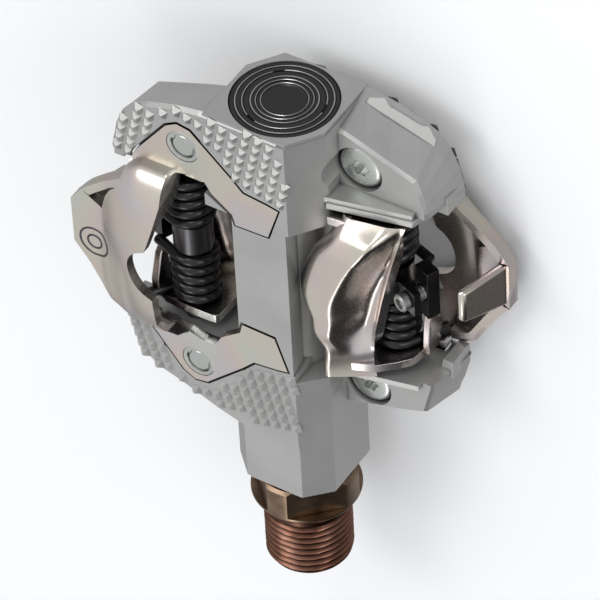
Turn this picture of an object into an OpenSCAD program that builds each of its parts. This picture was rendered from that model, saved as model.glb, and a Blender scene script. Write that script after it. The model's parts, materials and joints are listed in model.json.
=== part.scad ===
// Double-sided clipless bicycle pedal, right-hand side.
// Origin on the spindle axis at the crank shoulder. +Y points away from the crank, +Z is the normal
// of face A, and -X is the end that carries the fixed hook of face A.
// Face B is face A turned half a turn about the spindle axis.

/* [Pedal] */
// Distance from the crank shoulder to the middle of the cleat hooks
cleat_y = 53; // [52:0.5:55]
// Distance from the spindle axis to each flat face of the body
face_z = 9; // [8.8:0.1:9.4]
// Length from the crank shoulder to the end of the body
body_end_y = 84; // [84:0.5:88]

/* [Spindle] */
// Major diameter of the crank thread (9/16 inch)
thread_d = 14.28; // [14.1:0.02:14.3]
// Length of the crank thread beyond the shoulder
thread_length = 13; // [11:0.5:15]
// Diameter of the wrench collar
collar_d = 17.9; // [17:0.1:18.4]
// Distance across the wrench flats
wrench_flats = 15; // [14:0.5:16]
// Width of the wrench collar along the spindle
collar_width = 7.5; // [6:0.5:7.5]

/* [Body] */
// Half width of the neck across its flats
neck_half = 8.9; // [8.8:0.1:9.2]
// Half width of the body around the outer bearing
boss_half = 9.4; // [9.4:0.1:9.8]
// Reach of each arm from the spindle axis
arm_reach = 26; // [25:0.5:27]
// Distance from the middle of the hooks to the inner faces of the arms
arm_inner = 17.5; // [17.5:0.1:17.8]
// Pitch of the grip studs
stud_pitch = 2; // [2:0.05:2.6]

/* [Hooks and claws] */
// Thickness of the stamped hook plate
hook_t = 1.8; // [1.6:0.1:2]
// Reach of the hook nose from the spindle axis
nose_reach = 33.1; // [32:0.1:34]
// Distance of each claw pin from the spindle axis, along X
pin_x = 15.8; // [15.8:0.1:16.2]
// Distance of each claw pin from the spindle axis, along Z
pin_z = 3.8; // [3.6:0.1:4]
// Diameter of the claw pin
pin_d = 4; // [3.6:0.1:4]
// Thickness of the stamped claw
claw_t = 1.5; // [1.3:0.1:1.6]

/* [Springs] */
// Outside diameter of each spring coil
coil_d = 8; // [7.8:0.1:8]
// Diameter of the spring wire
wire_d = 1.7; // [1.5:0.1:1.7]
// Turns in each spring coil
coil_turns = 5; // [4:1:5]

/* [Hidden] */
$fn = 64;

aluminium = "#9fa19c";
nickel = "#c7bdb3";
bronze = "#735438";
black = "#1d1d1f";
bright = "#cfd0cf";

// Running clearance between a turning pair, per side
run_gap = 0.04;

// Spindle journals
bush_journal_r = 6;
shaft_r = 4.3;
race_seat_r = 3;
stud_r = 2.5;
bush_start = 11.4;
bush_end = 27;
race_start = 68;
race_end = 73;
washer_end = 73.8;
nut_end = 77.3;
spindle_end = 78.2;

// Bearing
ball_r = 0.95;
ball_pitch_r = 4.75;
ball_count = 8;
race_r = 6.5;
race_land = 0.6;

// Housing bores
tube_r = 6.3;
tube_bore_r = 4.8;
seal_r = 7.7;
neck_start = 8;
cap_r = 8.5;
cap_seat = 79.3;
strip_half = 4.8;

// Arms: rim chamfer at the stud face, and the grip studs on their turned square grid
rim = 0.6;
stud_turn = -14.5;
stud_side = 1.7;
stud_tip = 0.5;
stud_h = 0.85;
stud_margin = 0.65;
stud_origin = [0.4, 27.9];
stud_reach = 22;

groove_z = 6.2;

// Scallops beside the tube
scallop_half = 12;
scallop_x = 8.6;
scallop_z = 6;
scallop_r = 3.6;

// Hook screws
screw_x = 12.86;
screw_y = 22.75;
hook_screw_r = 2;
hook_head_r = 3.85;
hook_nut_r = 2.9;
hook_recess_r = 1.9;
hook_recess_h = 1;
hook_screw_top = face_z - 0.8;
web_z = 0.4;
head_h = 1.6;
head_seat_z = head_h + 0.15;
seat_z = face_z + 0.1 - hook_t;

// Flap folded down from the end of the hook nose
flap_half = 4.4;
flap_lean = 2.9;
flap_end_z = 0.6;
flap_taper = 3.2;
flap_t = 1.4;

// Claw and tension screw
ear_outer = 15.6;
ear_inner = ear_outer - claw_t;
ear_r = 5.2;
pin_half = 20;
sleeve_half = 2.7;
sleeve_r = 3.2;
tension_x = 20.3;
tension_z = 2.4;
tension_tilt = -23.2;
tension_length = 7.6;
tension_head_r = 1.9;
tension_head_h = 1.5;
tension_r = 1.25;
tension_recess_r = 1.1;
tension_recess_h = 1;
lug_start = tension_head_h + 0.05;
lug_t = 1.2;
nut_start = 4.3;
nut_h = 2.2;
coil_r = (coil_d - wire_d) / 2;
coil_pitch = 2;
coil_outer_y = ear_inner - 0.15 - wire_d / 2;
wire_sides = 6;
steps_per_turn = 18;

// Repeats a shape for face B: the half-turn symmetry of the pedal about the spindle axis
module face_b() { rotate([0, 180, 0]) children(); }
module both_faces() { children(); face_b() children(); }

// Repeats a shape on both sides of the plane through the middle of the hooks
module both_ends() {
  translate([0, cleat_y, 0]) {
    children();
    mirror([0, 1, 0]) children();
  }
}

// A solid of revolution about the spindle axis, from points of (radius, distance along Y)
module about_spindle(points) {
  rotate([-90, 0, 0]) rotate_extrude() polygon(points);
}

// A prism along Y from a profile in the XZ plane
module along_y(from, to) {
  translate([0, to, 0]) rotate([90, 0, 0]) linear_extrude(to - from) children();
}

/* ---- spindle and its bearing ---- */

module spindle() {
  thread_r = thread_d / 2;
  collar_r = collar_d / 2;
  chamfer = 1;
  color(bronze) difference() {
    about_spindle([
      [0, -thread_length], [thread_r - chamfer, -thread_length],
      [thread_r, -thread_length + chamfer], [thread_r, 0], [collar_r, 0],
      [collar_r, collar_width], [bush_journal_r, collar_width],
      [bush_journal_r, bush_end + 1], [shaft_r, bush_end + 7], [shaft_r, race_start - 1.6],
      [ball_pitch_r - race_land - 0.2, race_start - 1.2],
      [ball_pitch_r - race_land - 0.2, race_start], [race_seat_r, race_start],
      [race_seat_r, race_end], [stud_r, race_end + 0.1], [stud_r, spindle_end], [0, spindle_end]]);
    for (turn = [45 : 90 : 315])
      rotate([0, turn, 0])
        translate([-collar_r, 1.2, wrench_flats / 2])
          cube([collar_d, collar_width - 2.4, collar_r]);
    // Hexagon socket in the crank end
    along_y(-thread_length - 1, -thread_length + 6) circle(r = 4.6, $fn = 6);
  }
}

module bearing_inner_race() {
  color(bright) difference() {
    about_spindle([[race_seat_r, race_start], [ball_pitch_r - race_land, race_start],
                   [ball_pitch_r - race_land, race_end], [race_seat_r, race_end]]);
    ball_groove();
  }
}

module bearing_outer_race() {
  color(bright) difference() {
    about_spindle([[ball_pitch_r + race_land, race_start], [race_r, race_start],
                   [race_r, race_end], [ball_pitch_r + race_land, race_end]]);
    ball_groove();
  }
}

module ball_groove() {
  translate([0, (race_start + race_end) / 2, 0]) rotate([-90, 0, 0])
    rotate_extrude() translate([ball_pitch_r, 0]) circle(r = ball_r + run_gap / 2);
}

module at_each_ball() {
  for (i = [0 : ball_count - 1])
    rotate([0, i * 360 / ball_count, 0])
      translate([ball_pitch_r, (race_start + race_end) / 2, 0]) children();
}

module bearing_balls() { color(bright) at_each_ball() sphere(r = ball_r); }

module ball_cage() {
  half = 1.5;
  middle = (race_start + race_end) / 2;
  color(bronze) difference() {
    about_spindle([[ball_pitch_r - 0.3, middle - half], [ball_pitch_r + 0.3, middle - half],
                   [ball_pitch_r + 0.3, middle + half], [ball_pitch_r - 0.3, middle + half]]);
    // Round windows that carry the balls
    at_each_ball() rotate([0, 90, 0]) cylinder(r = ball_r + run_gap, h = 2, center = true);
  }
}

module bearing_shields() {
  inner = ball_pitch_r - race_land + run_gap;
  outer = ball_pitch_r + race_land;
  color(black) for (start = [race_start + 0.15, race_end - 0.45])
    about_spindle([[inner, start], [outer, start], [outer, start + 0.3], [inner, start + 0.3]]);
}

module lock_washer() {
  outer = race_seat_r + 1.1;
  color(bright) about_spindle([[stud_r + run_gap, race_end + 0.1], [outer, race_end + 0.1],
                               [outer, washer_end], [stud_r + run_gap, washer_end]]);
}

module lock_nut() {
  color(bright) difference() {
    along_y(washer_end, nut_end) circle(r = 4.6, $fn = 6);
    along_y(washer_end - 1, nut_end + 1) circle(r = stud_r);
  }
}

module inboard_bush() {
  inner = bush_journal_r + run_gap;
  color(bronze) about_spindle([[inner, bush_start], [bush_journal_r + 1.5, bush_start],
                               [bush_journal_r + 1.5, bush_end], [inner, bush_end]]);
}

module inboard_seal() {
  lip = bush_journal_r + run_gap;
  color(black) about_spindle([[lip, neck_start + 1], [lip + 0.4, neck_start + 0.4],
                              [seal_r, neck_start + 0.4], [seal_r, bush_start - 0.6],
                              [lip + 0.6, bush_start - 0.6], [lip + 0.6, bush_start - 1.2],
                              [lip, bush_start - 1.4]]);
}

/* ---- body ---- */

// Outboard arm of face A, on the -X side, as (x, distance from the middle): its outline at the stud
// face and the smaller outline at the back, so the outer wall slopes
function outboard_arm() = [[4, arm_inner], [4, 31], [-9.7, 31], [-14, 30.3], [-19, 28.7], [-21.8, 27.4],
                           [-23.7, 25.2], [-25.2, 21.8], [-arm_reach, 18], [-arm_reach, arm_inner]];
function outboard_back() = [[4, arm_inner], [4, 30], [-10.3, 29.1], [-13.5, 28], [-18, 26.3], [-22.7, 24.6],
                            [-23.6, 22.3], [-24.1, 20.4], [-24.5, 18.6], [-24.5, arm_inner]];

// The inboard arm is shorter and its outer edge slopes towards the neck
function inboard_arm() = [[5, arm_inner], [5, 34], [-4, 34], [-9.7, 32.2], [-16.2, 29.6], [-21, 28.2],
                          [-23.6, 26.3], [-25, 22.4], [-arm_reach, 18.6], [-arm_reach, arm_inner]];
function inboard_back() = [[5, arm_inner], [5, 31], [-4, 29.8], [-10, 28.1], [-16, 26.3], [-20.6, 25],
                           [-23.1, 24], [-23.9, 20.8], [-24.5, 18.2], [-24.5, arm_inner]];

// An outline pulled in from its outer edge and its tip
function inset(points, by) = [for (p = points) [p[0] + (p[0] < -20 ? by : 0), p[1] - (p[1] > 19 ? by : 0)]];

// Solid through outlines with equal numbers of points, each at its own height
module loft(outlines, heights) {
  count = len(outlines[0]);
  last = len(outlines) - 1;
  polyhedron(
    [for (i = [0 : last], p = outlines[i]) [p[0], p[1], heights[i]]],
    concat([[for (k = [0 : count - 1]) k]],
           [for (i = [0 : last - 1], k = [0 : count - 1])
              let (a = i * count + k, b = i * count + (k + 1) % count)
              each [[a, a + count, b], [b, a + count, b + count]]],
           [[for (k = [count - 1 : -1 : 0]) last * count + k]]));
}

module arm(top, back) {
  // The chamfer around the back is steeper than the one around the stud face
  back_inset = 0.35;
  back_chamfer = 0.6;
  loft([inset(back, back_inset), back, top, inset(top, rim)],
       [-web_z, back_chamfer - web_z, face_z - rim, face_z]);
  // Rib along the inner edge of the screw pocket, lower towards the tip
  hull()
    for (end = [[-9, 4.2], [-22.6, 1.4]])
      translate([end[0], arm_inner, -end[1]]) linear_extrude(end[1] + 1) square([0.1, 1]);
}

module arms() {
  translate([0, cleat_y, 0]) arm(outboard_arm(), outboard_back());
  translate([0, cleat_y, 0]) mirror([0, 1, 0]) arm(inboard_arm(), inboard_back());
  // Toes at the arm tips, beside the hook
  both_ends() translate([0, 0, 4]) linear_extrude(face_z - 4)
    polygon([[-25.6, 19], [-25.6, 15.6], [-23.9, 15.6], [-23.2, 19]]);
}

// Eight-sided neck section
module neck_section(half) {
  cut = 3.8;
  polygon([[half, half - cut], [half - cut, half], [cut - half, half], [-half, half - cut],
           [-half, cut - half], [cut - half, -half], [half - cut, -half], [half, cut - half]]);
}

// Section of the outer boss: the corners beside the screw pockets slope
module boss_section(shrink) {
  half = boss_half - shrink;
  top = face_z + 0.1 - shrink;
  slope_x = 5.4;
  slope_z = 3.6;
  polygon([[slope_x, top], [half, slope_z], [half, -top],
           [-slope_x, -top], [-half, -slope_z], [-half, top]]);
}

module strip_section() {
  polygon([[-strip_half, face_z], [strip_half, face_z], [strip_half - 0.5, 5.6], [3.6, 3],
           [-3.6, 3], [0.5 - strip_half, 5.6]]);
}

// Square grip studs on a turned square grid, wherever a whole stud fits between the outline and the hook
module stud_rows(points) {
  along = [cos(stud_turn), sin(stud_turn)] * stud_pitch;
  across = [-sin(stud_turn), cos(stud_turn)] * stud_pitch;
  for (row = [-stud_reach : stud_reach], column = [-stud_reach : stud_reach]) {
    at = stud_origin + column * along + row * across;
    if (stud_fits(at, points))
      translate([at[0], at[1], face_z - 0.1]) rotate(stud_turn + 45)
        cylinder(h = stud_h, r1 = stud_side / sqrt(2), r2 = stud_tip / sqrt(2), $fn = 4);
  }
}

// Points inside a polygon, by counting edges that cross a ray along +X
function inside(p, pts) =
  len([for (i = [0 : len(pts) - 1])
    let (a = pts[i], b = pts[(i + 1) % len(pts)])
    if ((a[1] > p[1]) != (b[1] > p[1])
        && p[0] < (b[0] - a[0]) * (p[1] - a[1]) / (b[1] - a[1]) + a[0]) 1]) % 2 == 1;

function stud_fits(at, points) =
  let (around = [for (turn = [0 : 45 : 315]) at + stud_margin * [cos(turn), sin(turn)]])
  len([for (p = around) if (inside(p, points) && !inside(p, hook_seat())) 1]) == len(around);

// Where the studs stand: the face of each arm and the root beside the boss or the neck
function studs_outboard() = concat([[6.2, arm_inner + 0.4], [6.2, 27.5], [4, 31], [-9.5, 31]],
                                   [for (i = [3 : 8]) outboard_arm()[i]],
                                   [[-25, 16], [-22.3, 16], [-14, 21], [-4, arm_inner + 0.4]]);
function studs_inboard() = concat([[5.6, arm_inner + 0.4], [5.8, 31.5], [-4, 31.5], [-9.3, 31.1]],
                                  [for (i = [4 : 8]) inboard_arm()[i]],
                                  [[-25, 16], [-22.3, 16], [-14, 21], [-4, arm_inner + 0.4]]);

module studs() {
  translate([0, cleat_y, 0]) stud_rows(studs_outboard());
  translate([0, cleat_y, 0]) mirror([0, 1, 0]) stud_rows(studs_inboard());
}

module housing_solid() {
  both_faces() {
    arms();
    studs();
  }
  // Neck, outer bearing boss and the thin tube between them
  along_y(neck_start, neck_start + 0.8) neck_section(neck_half - 0.4);
  along_y(neck_start + 0.7, 34) neck_section(neck_half);
  along_y(cleat_y + 12.5, body_end_y - 0.6) boss_section(0);
  along_y(body_end_y - 0.7, body_end_y) boss_section(0.3);
  along_y(30, 70) circle(r = tube_r);
  both_faces() along_y(30, 70) strip_section();
}

module housing() {
  color(aluminium) difference() {
    housing_solid();
    about_spindle([[0, 0], [seal_r, 0], [seal_r, bush_start - 0.6],
                   [bush_journal_r + 1.5, bush_start - 0.6],
                   [bush_journal_r + 1.5, bush_end], [tube_bore_r, bush_end + 6],
                   [tube_bore_r, race_start - 1.6], [race_r - 0.9, race_start - 1.4],
                   [race_r - 0.9, race_start], [race_r, race_start], [race_r, cap_seat], [cap_r, cap_seat],
                   [cap_r, body_end_y + 1], [0, body_end_y + 1]]);
    both_faces() {
      // Seats for the hook plates and their screws
      both_ends() {
        translate([0, 0, seat_z]) linear_extrude(hook_t + 2) polygon(hook_seat());
        translate([-screw_x, screw_y, -web_z - 1]) cylinder(r = hook_screw_r + 0.15, h = face_z + 2);
        translate([-screw_x, screw_y, -web_z - 6]) cylinder(r = hook_head_r + 0.25, h = head_seat_z + web_z + 6);
        translate([-screw_x, screw_y, seat_z - 2.2]) cylinder(r = hook_nut_r, h = 4);
      }
      // Bores for the claw pin
      along_y(cleat_y - pin_half, cleat_y + pin_half) translate([-pin_x, pin_z]) circle(d = pin_d);
      // Scallops beside the tube that let the claw lip reach the cleat
      along_y(cleat_y - scallop_half, cleat_y + scallop_half)
        translate([-scallop_x, -scallop_z]) circle(r = scallop_r);
    }
    face_b() groove();
  }
}

// Shallow V-shaped groove along the sloping outer wall of the outboard arm of face B
module groove() {
  depth = 0.35;
  half = 0.65;
  from = [-10.5, 83.4];
  to = [-22.7, 79.6];
  translate([from[0], from[1], groove_z]) rotate(atan2(to[1] - from[1], to[0] - from[0]))
    rotate([90, 0, 90]) linear_extrude(norm(to - from))
      polygon([[depth, 0], [-half, half + half * half / depth], [-half, -half - half * half / depth]]);
}

module end_cap() {
  chamfer = 0.25;
  color(black) difference() {
    about_spindle([[0, cap_seat + 0.1], [cap_r - 0.9, cap_seat + 0.1], [cap_r - 0.9, cap_seat + 0.9],
                   [cap_r - 1.3, cap_seat + 1.1], [cap_r - 1.3, cap_seat + 2], [cap_r, cap_seat + 2.2],
                   [cap_r, body_end_y - chamfer],
                   [cap_r - chamfer, body_end_y], [0, body_end_y]]);
    for (r = [3.5, 4.4, 5.2, 6.4])
      about_spindle([[r, body_end_y - 0.2], [r + 0.35, body_end_y - 0.2], [r + 0.35, body_end_y + 1],
                     [r, body_end_y + 1]]);
  }
}

module cap_o_ring() {
  section = 0.5;
  color(black) translate([0, cap_seat + 1.55, 0]) rotate([-90, 0, 0])
    rotate_extrude() translate([cap_r - 0.7, 0]) circle(r = section);
}

/* ---- fixed hooks ---- */

// Outline of one tab of the hook plate, outboard half, as (x, distance from the middle)
function hook_tab() = [[3.8, 17], [1.8, 17.4], [-2.4, 17.9], [-4.6, 20.2], [-9.6, 24.9], [-11.4, 26.6],
                       [-13.7, 27], [-15.7, 25.8], [-21.9, 17.8], [-22, 16], [-14.9, 16.2],
                       [-11.4, 17.6], [-9.6, 17.6], [-8.1, 15.2], [-4.6, 12.5], [-4.1, 10.6],
                       [1.7, 10.8]];
// The seat in the body is the tab outline with clearance around it
function hook_seat() = [[4.2, 17.3], [1.9, 17.8], [-2.2, 18.3], [-4.3, 20.5], [-9.4, 25.3], [-11.2, 27],
                        [-13.7, 27.4], [-16, 26.1], [-22.3, 17.9], [-22.3, 14.8], [-9, 14.8],
                        [-5, 12.2], [-4.4, 10.2], [1.9, 10.4]];

// Section of the hook arch, as (distance from the middle, height above the face)
function arch_section(half, rise) =
  [for (a = [0 : 15 : 180]) [half * cos(a) * (1 - 0.06 * sin(a)), seat_z + hook_t / 2 + rise * sin(a)]];

module arch_slab(x, half, rise) {
  translate([x, cleat_y, 0]) rotate([90, 0, 90]) linear_extrude(0.05)
    polygon(concat([[half, seat_z], [-half, seat_z]], [for (p = arch_section(half, rise)) [-p[0], p[1]]]));
}

module hook() {
  nose_z = 10;
  color(nickel) difference() {
    union() {
      both_ends() translate([0, 0, seat_z]) linear_extrude(hook_t) polygon(hook_tab());
      difference() {
        hull() {
          arch_slab(-16, 17.4, 5.8);
          arch_slab(-21, 17.2, 5.4);
          arch_slab(-25.5, 13.6, 4.6);
        }
        hull() {
          arch_slab(-14, 16.9, 4.4);
          arch_slab(-20.5, 16.6, 4);
          arch_slab(-24.2, 13, 3.2);
        }
      }
      nose(nose_z);
      end_flap(nose_z);
    }
    both_ends() translate([-screw_x, screw_y, seat_z - 1]) cylinder(r = hook_nut_r, h = hook_t + 2);
    // Notch in the middle of the arch lip
    translate([-16, cleat_y, 6]) cylinder(r = 4, h = 12);
  }
}

function nose_outline(inset = 0) = [
  [-23.5, 13.6 - inset], [-26.5, 12.4 - inset], [-nose_reach + 1 + inset, 6.6 - inset / 2],
  [-nose_reach + inset, 4.6 - inset / 2]];

module nose_polygon(inset = 0) {
  half = nose_outline(inset);
  polygon(concat(half, [for (i = [len(half) - 1 : -1 : 0]) [half[i][0], -half[i][1]]]));
}

module nose(top) {
  rim_depth = 3.4;
  translate([0, cleat_y, 0]) difference() {
    translate([0, 0, top - rim_depth]) linear_extrude(rim_depth + 1.4) nose_polygon();
    translate([0, 0, top - rim_depth - 1]) linear_extrude(rim_depth + 1) nose_polygon(1.4);
    // Window on the outboard side
    translate([0, 0, top - 1]) linear_extrude(4) polygon([[-25.6, 10.8], [-30.4, 7], [-27.4, 5.4]]);
    translate([-25.4, -12.4, top - rim_depth - 1]) cube([3, 24.8, rim_depth + 1]);
  }
}

// Leans inwards and is narrower at its free edge
module end_flap(top) {
  translate([-nose_reach, cleat_y - flap_half, 0]) hull() {
    translate([0, 0, top]) cube([flap_t, 2 * flap_half, 0.1]);
    translate([flap_lean, flap_taper, flap_end_z]) cube([flap_t, 2 * flap_half - flap_taper, 0.1]);
  }
}

module hook_a() { hook(); }
module hook_b() { face_b() hook(); }

module hook_screws() {
  // Round head under the arm, shank up to the threaded nut
  color(bright) both_ends() translate([-screw_x, screw_y, 0]) difference() {
    union() {
      cylinder(r = hook_head_r, h = head_h);
      cylinder(r = hook_screw_r, h = hook_screw_top);
    }
    translate([0, 0, -0.1]) cylinder(r = hook_recess_r, h = hook_recess_h + 0.1, $fn = 6);
  }
}

module hook_screws_a() { hook_screws(); }
module hook_screws_b() { face_b() hook_screws(); }

module hook_nuts() {
  color(bright) both_ends() translate([-screw_x, screw_y, seat_z - 2.1]) difference() {
    cylinder(r = hook_nut_r, h = hook_t + 2);
    translate([0, 0, -1]) cylinder(r = hook_screw_r, h = hook_screw_top - seat_z + 3.2);
  }
}

module hook_nuts_a() { hook_nuts(); }
module hook_nuts_b() { face_b() hook_nuts(); }

/* ---- sprung claws ---- */

// Plan outline of the claw plate, as (x, distance from the middle)
claw_plan = [[4.8, -1.2], [4.8, 1.2], [6.2, 6], [6.6, 9], [8.9, 11.4], [10.2, 14], [11, 17],
             [22.4, 16.6], [20.4, 12], [18.6, 6], [17.4, 0], [16.4, -8], [15.9, -14], [16.6, -17],
             [8.8, -17], [8.8, -13], [8.4, -11], [6.6, -8.6], [6.2, -6]];

module claw_plate() {
  intersection() {
    along_y(cleat_y - 17, cleat_y + 17) polygon([
      [4.6, 5.7], [9, 6.7], [13, 6], [18, 4.3], [22.5, 3], [22.5, 1.3], [17.6, 2.7],
      [12.7, 4.4], [9, 5.1], [4.6, 4.1]]);
    translate([0, cleat_y, 0]) linear_extrude(10) polygon(claw_plan);
  }
}

module claw() {
  color(nickel) difference() {
    union() {
      claw_plate();
      both_ends() along_y(ear_inner, ear_outer) {
        translate([pin_x, -pin_z]) circle(r = ear_r);
        polygon([[10.6, -3.8], [10.2, 6], [13, 5.4], [18, 3.7], [21.6, 2.2], [21, -3.8]]);
      }
      // Lug that carries the tension screw
      along_y(cleat_y - 2.4, cleat_y + 2.4)
        polygon([[14.8, 4.4], [17.2, 3.4], [18.2, 2.2], tension_point(lug_start, -2.2),
                 tension_point(lug_start, 2.2), tension_point(lug_start + lug_t, 2.2),
                 tension_point(lug_start + lug_t, -3.2), [14.8, 2.4]]);
    }
    along_y(cleat_y - pin_half, cleat_y + pin_half) translate([pin_x, -pin_z]) circle(r = pin_d / 2 + run_gap);
    along_tension() translate([0, 0, -6]) cylinder(r = tension_r + run_gap, h = 6);
  }
}

// A point in the XZ plane, from its depth along the tension screw and its offset across it
function tension_point(depth, across) =
  [tension_x - depth * sin(tension_tilt) + across * cos(tension_tilt),
   tension_z - depth * cos(tension_tilt) - across * sin(tension_tilt)];

module along_tension() {
  translate([tension_x, cleat_y, tension_z]) rotate([0, tension_tilt, 0]) children();
}

module tension_screw() {
  color(bright) along_tension() difference() {
    union() {
      translate([0, 0, -tension_head_h]) cylinder(r = tension_head_r, h = tension_head_h);
      translate([0, 0, -tension_length]) cylinder(r = tension_r, h = tension_length - 0.5);
    }
    translate([0, 0, -tension_recess_h])
      cylinder(r = tension_recess_r, h = tension_recess_h + 1, $fn = 6);
  }
}

module tension_nut() {
  color(bright) along_tension() translate([0, 0, -nut_start - nut_h]) difference() {
    translate([-2.1, -5, 0]) cube([4.2, 10, nut_h]);
    translate([0, 0, -1]) cylinder(r = tension_r + run_gap, h = nut_h + 2);
  }
}

module claw_pin() {
  color(bright) along_y(cleat_y - pin_half, cleat_y + pin_half) translate([pin_x, -pin_z]) circle(d = pin_d);
}

// Spacer on the pin between the two springs
module pin_sleeve() {
  color(black) along_y(cleat_y - sleeve_half, cleat_y + sleeve_half)
    translate([pin_x, -pin_z]) difference() {
      circle(r = sleeve_r);
      circle(r = pin_d / 2 + run_gap);
    }
}

module claw_a() { claw(); }
module claw_b() { face_b() claw(); }
module claw_pin_a() { claw_pin(); }
module claw_pin_b() { face_b() claw_pin(); }
module pin_sleeve_a() { pin_sleeve(); }
module pin_sleeve_b() { face_b() pin_sleeve(); }
module tension_screw_a() { tension_screw(); }
module tension_screw_b() { face_b() tension_screw(); }
module tension_nut_a() { tension_nut(); }
module tension_nut_b() { face_b() tension_nut(); }

/* ---- torsion springs ---- */

// Angles where the two straight legs leave the coil, and the lengths of the legs
hook_leg_angle = 30;
hook_leg = 7.6;
nut_leg_angle = -70;
nut_leg = 5.4;

// Centre line of one spring: the leg on the hook, the coil, and the leg under the tension nut,
// as (x, distance from the middle, z) from the pin axis
function on_coil(a, y) = [coil_r * cos(a), y, coil_r * sin(a)];
function tangent(a) = [-sin(a), 0, cos(a)];
function spring_line() =
  let (sweep = coil_turns * 360 + nut_leg_angle - hook_leg_angle,
       steps = coil_turns * steps_per_turn,
       inner_y = coil_outer_y - coil_pitch * sweep / 360)
  concat(
    [on_coil(hook_leg_angle, coil_outer_y) - hook_leg * tangent(hook_leg_angle)],
    [for (i = [0 : steps])
      on_coil(hook_leg_angle + i * sweep / steps, coil_outer_y - (coil_outer_y - inner_y) * i / steps)],
    [on_coil(hook_leg_angle + sweep, inner_y) + nut_leg * tangent(hook_leg_angle + sweep)]);

function unit(v) = v / norm(v);

// Round wire swept along a centre line that stays close to planes square to the Y axis
module wire(line) {
  last = len(line) - 1;
  rings = [for (i = [0 : last])
    let (along = unit(line[min(i + 1, last)] - line[max(i - 1, 0)]),
         across = unit([0, 1, 0] - along[1] * along),
         up = cross(along, across))
    for (k = [0 : wire_sides - 1])
      line[i] + wire_d / 2 * (cos(k * 360 / wire_sides) * across + sin(k * 360 / wire_sides) * up)];
  walls = [for (i = [0 : last - 1], k = [0 : wire_sides - 1])
    let (a = i * wire_sides + k, b = i * wire_sides + (k + 1) % wire_sides)
    each [[a, a + wire_sides, b], [b, a + wire_sides, b + wire_sides]]];
  polyhedron(rings, concat([[for (k = [0 : wire_sides - 1]) k]], walls,
                           [[for (k = [wire_sides - 1 : -1 : 0]) last * wire_sides + k]]));
}

// flip is 1 for the outboard spring and -1 for the inboard one
module spring(flip) {
  color(black) translate([pin_x, cleat_y, -pin_z])
    if (flip > 0) wire(spring_line());
    else mirror([0, 1, 0]) wire(spring_line());
}

module spring_a_outboard() { spring(1); }
module spring_a_inboard() { spring(-1); }
module spring_b_outboard() { face_b() spring(1); }
module spring_b_inboard() { face_b() spring(-1); }

spindle();
bearing_inner_race();
bearing_balls();
ball_cage();
bearing_outer_race();
bearing_shields();
lock_washer();
lock_nut();
inboard_bush();
inboard_seal();
housing();
end_cap();
cap_o_ring();
hook_a();
hook_b();
hook_screws_a();
hook_screws_b();
hook_nuts_a();
hook_nuts_b();
claw_a();
claw_b();
claw_pin_a();
claw_pin_b();
pin_sleeve_a();
pin_sleeve_b();
spring_a_outboard();
spring_a_inboard();
spring_b_outboard();
spring_b_inboard();
tension_screw_a();
tension_screw_b();
tension_nut_a();
tension_nut_b();
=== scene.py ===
import json
import math

import bmesh
import bpy
from mathutils import Matrix, Vector


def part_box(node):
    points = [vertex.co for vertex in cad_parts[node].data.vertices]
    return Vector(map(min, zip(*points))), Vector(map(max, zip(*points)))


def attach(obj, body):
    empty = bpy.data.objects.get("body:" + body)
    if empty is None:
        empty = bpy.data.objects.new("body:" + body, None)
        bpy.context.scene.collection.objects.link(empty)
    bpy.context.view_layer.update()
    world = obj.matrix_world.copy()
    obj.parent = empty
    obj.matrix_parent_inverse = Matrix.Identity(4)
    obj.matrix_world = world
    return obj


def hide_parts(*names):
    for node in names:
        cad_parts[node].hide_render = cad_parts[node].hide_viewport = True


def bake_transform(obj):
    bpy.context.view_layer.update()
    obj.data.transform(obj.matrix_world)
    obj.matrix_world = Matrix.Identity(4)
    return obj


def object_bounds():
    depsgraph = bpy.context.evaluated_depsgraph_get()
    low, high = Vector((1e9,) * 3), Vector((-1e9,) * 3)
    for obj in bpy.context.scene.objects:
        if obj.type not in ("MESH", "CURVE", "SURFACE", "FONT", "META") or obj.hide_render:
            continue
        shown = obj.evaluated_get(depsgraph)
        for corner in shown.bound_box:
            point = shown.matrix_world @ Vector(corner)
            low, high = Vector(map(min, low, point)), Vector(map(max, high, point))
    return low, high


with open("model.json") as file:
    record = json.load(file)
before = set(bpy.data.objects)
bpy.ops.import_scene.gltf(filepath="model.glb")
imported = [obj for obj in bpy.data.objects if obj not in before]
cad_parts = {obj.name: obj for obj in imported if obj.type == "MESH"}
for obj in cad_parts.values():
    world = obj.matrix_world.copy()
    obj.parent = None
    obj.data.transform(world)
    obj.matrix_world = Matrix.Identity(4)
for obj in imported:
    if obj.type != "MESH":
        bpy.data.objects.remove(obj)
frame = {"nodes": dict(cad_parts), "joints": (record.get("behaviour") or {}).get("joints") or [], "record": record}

CAD_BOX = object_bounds()
MM = 0.001

# ---- driving sizes from the frame, in millimetres
JOINTS = {joint["name"]: joint for joint in frame["joints"]}


def corners(node):
    """Lowest and highest corner of a CAD node, in millimetres."""
    low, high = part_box(node)
    return low / MM, high / MM


# Axis of claw A's pin, at the middle of the hooks
PIN = Vector(JOINTS["claw_a_swing"]["pos_m"]) / MM
CLEAT_Y = PIN.y
BODY_END_Y = corners("end_cap")[1].y
THREAD_END_Y = corners("spindle")[0].y


# ---- node materials
# Level of the painted shade at the bottom of the thread's grooves
GROOVE_SHADE = 0.08
# Painted shade in corners: open share of the surroundings at which a corner is painted darkest, and from which it
# isn't darkened
PAINTED_SHADE_CLOSED, PAINTED_SHADE_OPEN = 0.18, 0.75


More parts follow.
